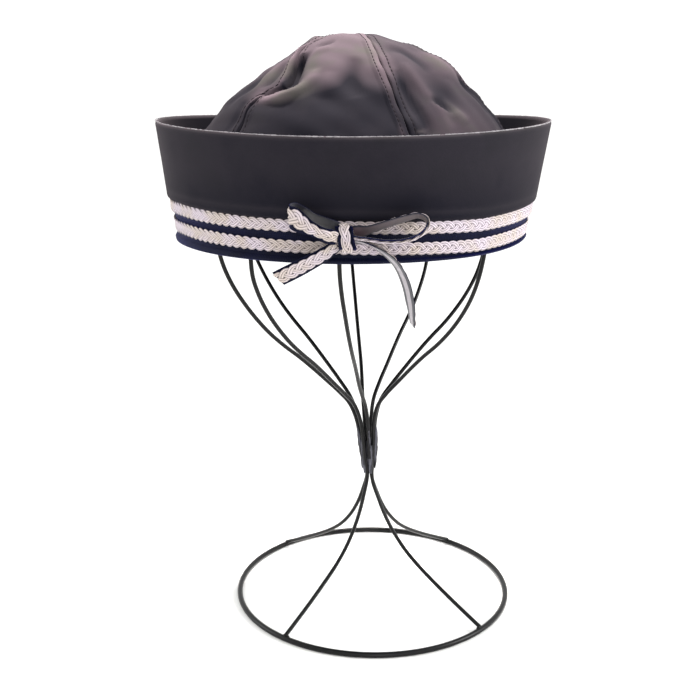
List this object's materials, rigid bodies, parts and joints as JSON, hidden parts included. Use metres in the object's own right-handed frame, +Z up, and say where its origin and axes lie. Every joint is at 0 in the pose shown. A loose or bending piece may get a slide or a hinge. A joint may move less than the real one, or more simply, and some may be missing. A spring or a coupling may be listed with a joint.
{
  "type": "sailor cap on a wire hat stand",
  "caption": "Dark cotton sailor cap with a round gored crown, a deep turned-up brim, two rows of plaited ribbon tied in a bow, and the black wire stand it sits on.",
  "frame": {"origin": "on the floor that the stand's ring lies on, below the middle of the whole object's box", "axes": "+Z up along the cap's and the stand's height, -Y towards the front with the bow, +X to the right as seen from the front"},
  "size_m": [0.2106, 0.216, 0.321],
  "materials": {
    "cap_cotton": "matt charcoal cotton twill",
    "navy_ribbon": "woven navy ribbon edge",
    "white_plait": "cream white flat braid",
    "stand_wire": "black satin lacquer on steel wire"
  },
  "bodies": {
    "root": {"crown_gore_1": "cap_cotton", "crown_gore_2": "cap_cotton", "crown_gore_3": "cap_cotton", "crown_gore_4": "cap_cotton", "crown_gore_5": "cap_cotton", "crown_gore_6": "cap_cotton", "brim": "cap_cotton", "tape_lower": "navy_ribbon", "plait_lower": "white_plait", "tape_upper": "navy_ribbon", "plait_upper": "white_plait", "bow_knot": "white_plait", "bow_loop_left": "white_plait", "bow_loop_right": "white_plait", "bow_tail_left": "white_plait", "bow_tail_right": "white_plait", "base_ring": "stand_wire", "wire_front_left": "stand_wire", "wire_front_right": "stand_wire", "wire_back_right": "stand_wire", "wire_back_left": "stand_wire"}
  },
  "joints": []
}
